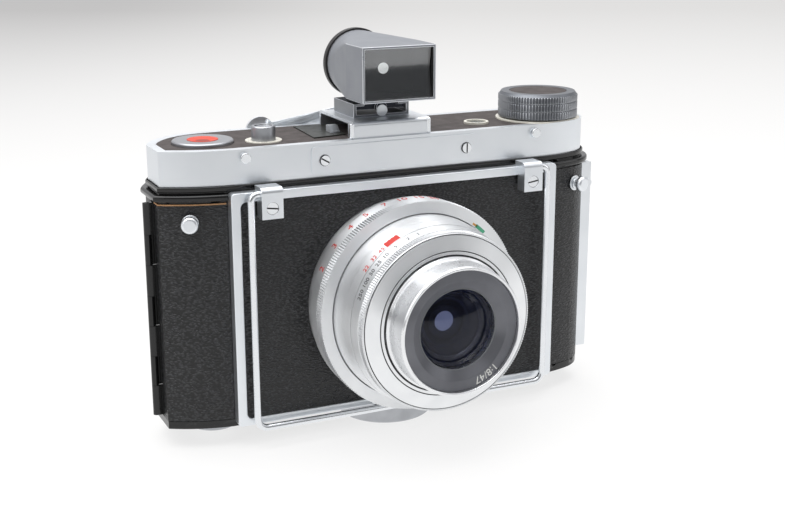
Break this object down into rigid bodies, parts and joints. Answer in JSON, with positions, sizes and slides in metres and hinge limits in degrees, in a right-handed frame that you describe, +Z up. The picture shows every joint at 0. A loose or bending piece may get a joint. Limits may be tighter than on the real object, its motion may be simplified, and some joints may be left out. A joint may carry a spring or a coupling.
{
  "type": "wide-angle roll-film camera",
  "caption": "Flat roll-film camera with a fixed wide-angle lens in helical focus, folding wire finder, slip-on optical finder, hinged back and winding knob.",
  "frame": {"origin": "centre of the tripod disc's underside, on which the camera stands", "axes": "+X along the camera towards the winding knob, +Y from the lens to the back, +Z up"},
  "size_m": [0.1682, 0.09, 0.1351],
  "materials": {
    "black_enamel": "gloss black enamel on cast alloy",
    "matt_black": "matt black paint",
    "black_leather": "fine pebbled grain",
    "bright_chrome": "polished",
    "satin_chrome": "satin",
    "dull_chrome": "worn satin",
    "plain_steel": "turned steel",
    "blade_steel": "blued thin steel",
    "dark_inlay": "dark grey-brown inlay",
    "black_plastic": "moulded black",
    "white_enamel": "white enamel",
    "red_enamel": "orange-red, glossy",
    "grey_alloy": "grey satin",
    "lens_alloy": "satin chromed alloy",
    "lens_chrome": "bright chromed alloy",
    "black_alloy": "black anodised",
    "clear_glass": "clear",
    "lens_glass": "coated, violet-blue"
  },
  "bodies": {
    "camera": {"body_casting": "black_enamel", "bottom_cover": "black_enamel", "front_panel": "black_enamel", "leather_panels": "black_leather", "front_frame": "bright_chrome", "light_box": "matt_black", "tripod_disc": "satin_chrome", "hinge_body_leaf": "black_enamel", "top_cover": "satin_chrome", "top_inlay": "dark_inlay", "name_plate": "bright_chrome", "case_screws": "bright_chrome", "catch_pins": "satin_chrome", "strap_studs": "satin_chrome", "top_rings": "satin_chrome", "counter_glass": "clear_glass", "shoe_platform": "bright_chrome", "shoe_channel": "dull_chrome", "sight_pivot": "plain_steel", "slide_plate": "dark_inlay", "wire_brackets": "bright_chrome", "lens_base": "lens_alloy"},
    "back": {"back_door": "black_enamel", "door_leather": "black_leather", "hinge_door_leaf": "black_enamel", "pressure_plate": "matt_black", "pressure_springs": "plain_steel"},
    "winder": {"winding_knob": "dull_chrome", "knob_inlay": "dark_inlay", "winding_shaft": "plain_steel", "take_up_spool": "black_plastic"},
    "counter": {"counter_disc": "white_enamel"},
    "left_stud": {"spool_stud_left": "satin_chrome"},
    "right_stud": {"spool_stud_right": "satin_chrome"},
    "left_roller": {"film_roller_left": "plain_steel"},
    "right_roller": {"film_roller_right": "plain_steel"},
    "latch": {"latch_bar": "bright_chrome"},
    "button": {"release_button": "dull_chrome"},
    "dial": {"dial_ring": "satin_chrome", "dial_centre": "red_enamel"},
    "finder": {"finder_body": "grey_alloy", "finder_glass": "clear_glass", "finder_eyepiece": "black_plastic", "finder_eye_lens": "clear_glass", "finder_foot": "dull_chrome"},
    "sight": {"sight_arm": "dull_chrome"},
    "thumb_slide": {"release_slide": "bright_chrome"},
    "wire": {"wire_frame": "bright_chrome"},
    "focusing": {"focus_ring": "lens_alloy"},
    "lens": {"shutter_housing": "lens_alloy", "face_plate": "lens_alloy", "lens_barrel": "lens_chrome", "lens_ring": "black_alloy", "front_lens": "lens_glass", "rear_lens": "lens_glass", "shutter_blades": "blade_steel", "iris_blades": "blade_steel"},
    "speeds": {"speed_ring": "lens_alloy"},
    "apertures": {"aperture_ring": "lens_alloy"},
    "cocking": {"cocking_lever": "lens_alloy"}
  },
  "joints": [
    {"name": "wire_swing", "type": "hinge", "parent": "camera", "child": "wire", "pos_m": [0, -0.0187, 0.0878], "axis": [-1, 0, 0], "range_deg": [0, 180]},
    {"name": "back_opens", "type": "hinge", "parent": "camera", "child": "back", "pos_m": [-0.08375, 0.0023, 0.0471], "axis": [0, 0, 1], "range_deg": [0, 110]},
    {"name": "latch_slides", "type": "slide", "parent": "camera", "child": "latch", "axis": [0, 0, -1], "range_m": [0, 0.003]},
    {"name": "knob_winds", "type": "hinge", "parent": "camera", "child": "winder", "pos_m": [0.0636, 0.0036, 0.105], "axis": [0, 0, 1], "continuous": true},
    {"name": "counter_turns", "type": "hinge", "parent": "camera", "child": "counter", "pos_m": [0.0328, 0.0017, 0.099], "axis": [0, 0, 1], "continuous": true},
    {"name": "left_stud_pulls", "type": "slide", "parent": "camera", "child": "left_stud", "axis": [0, 0, -1], "range_m": [0, 0.0088]},
    {"name": "right_stud_pulls", "type": "slide", "parent": "camera", "child": "right_stud", "axis": [0, 0, -1], "range_m": [0, 0.0088]},
    {"name": "left_roller_turns", "type": "hinge", "parent": "camera", "child": "left_roller", "pos_m": [-0.0508, 0.0148, 0.047], "axis": [0, 0, 1], "continuous": true},
    {"name": "right_roller_turns", "type": "hinge", "parent": "camera", "child": "right_roller", "pos_m": [0.0508, 0.0148, 0.047], "axis": [0, 0, 1], "continuous": true},
    {"name": "button_presses", "type": "slide", "parent": "camera", "child": "button", "axis": [0, 0, -1], "range_m": [0, 0.002], "stiffness_N_per_m": 300, "springref_m": -0.002},
    {"name": "dial_turns", "type": "hinge", "parent": "camera", "child": "dial", "pos_m": [-0.0627, 0.0063, 0.102], "axis": [0, 0, 1], "continuous": true},
    {"name": "finder_slides_off", "type": "slide", "parent": "camera", "child": "finder", "axis": [0, -1, 0], "range_m": [0, 0.018]},
    {"name": "sight_swings", "type": "hinge", "parent": "camera", "child": "sight", "pos_m": [-0.004, 0.0275, 0.103], "axis": [0, 1, 0], "range_deg": [0, 90]},
    {"name": "thumb_slide_moves", "type": "slide", "parent": "camera", "child": "thumb_slide", "axis": [0, 1, 0], "range_m": [0, 0.003]},
    {"name": "focus_turns", "type": "hinge", "parent": "camera", "child": "focusing", "pos_m": [0, -0.0254, 0.04657], "axis": [0, -1, 0], "range_deg": [0, 200]},
    {"name": "lens_extends", "type": "slide", "parent": "camera", "child": "lens", "axis": [0, -1, 0], "range_m": [0, 0.0023]},
    {"name": "speed_ring_turns", "type": "hinge", "parent": "lens", "child": "speeds", "pos_m": [0, -0.0458, 0.04657], "axis": [0, -1, 0], "range_deg": [-60, 90]},
    {"name": "aperture_ring_turns", "type": "hinge", "parent": "lens", "child": "apertures", "pos_m": [0, -0.0399, 0.04657], "axis": [0, -1, 0], "range_deg": [0, 60]},
    {"name": "lever_cocks", "type": "hinge", "parent": "lens", "child": "cocking", "pos_m": [0, -0.037, 0.04657], "axis": [0, -1, 0], "range_deg": [0, 35], "stiffness_Nm_per_rad": 0.01, "springref_deg": -17.19}
  ],
  "couplings": [
    {"joint": "lens_extends", "follows": "focus_turns", "m_per_rad": 0.00065},
    {"joint": "counter_turns", "follows": "knob_winds", "ratio": 0.04}
  ]
}
